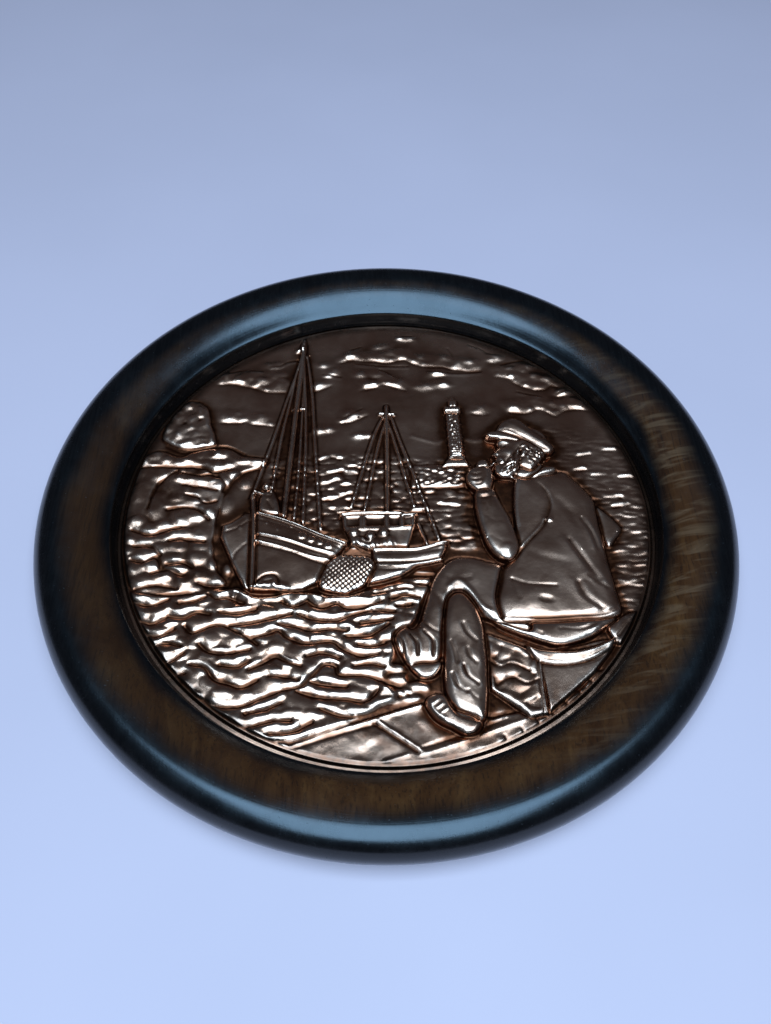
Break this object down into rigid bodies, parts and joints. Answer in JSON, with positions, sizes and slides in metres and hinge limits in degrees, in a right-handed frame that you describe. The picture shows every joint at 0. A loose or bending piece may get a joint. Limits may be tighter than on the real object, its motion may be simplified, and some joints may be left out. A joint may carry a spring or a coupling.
{
  "type": "wall plaque",
  "caption": "Round turned-wood wall plaque holding an embossed antiqued copper harbour picture, with a swinging hanging ring on the back.",
  "frame": {"origin": "centre of the flat back, on the plane that the plaque lies on", "axes": "+Z out of the face, +Y to the top of the picture, +X to its right; the rim is turned about Z"},
  "size_m": [0.32, 0.32, 0.025],
  "materials": {
    "rim_wood": "dark shaded satin lacquer over brown stained wood",
    "copper": "embossed copper, antiqued dark in the hollows and lacquered",
    "card": "grey card",
    "hardboard": "brown hardboard, woven screen side out",
    "steel": "bright wire",
    "brass": "brass wire and strip, slightly dull"
  },
  "bodies": {
    "plaque": {"wood_rim": "rim_wood", "copper_relief": "copper", "packing_disc": "card", "back_board": "hardboard", "board_brad_1": "steel", "board_brad_2": "steel", "board_brad_3": "steel", "board_brad_4": "steel", "board_brad_5": "steel", "board_brad_6": "steel", "board_brad_7": "steel", "board_brad_8": "steel", "hanger_strap": "brass", "hanger_rivet_1": "brass", "hanger_rivet_2": "brass"},
    "ring": {"hanger_ring": "brass"}
  },
  "joints": [
    {"name": "ring_swing", "type": "hinge", "parent": "plaque", "child": "ring", "pos_m": [0, 0.096, 0.00165], "axis": [-1, 0, 0], "range_deg": [0, 175]}
  ]
}
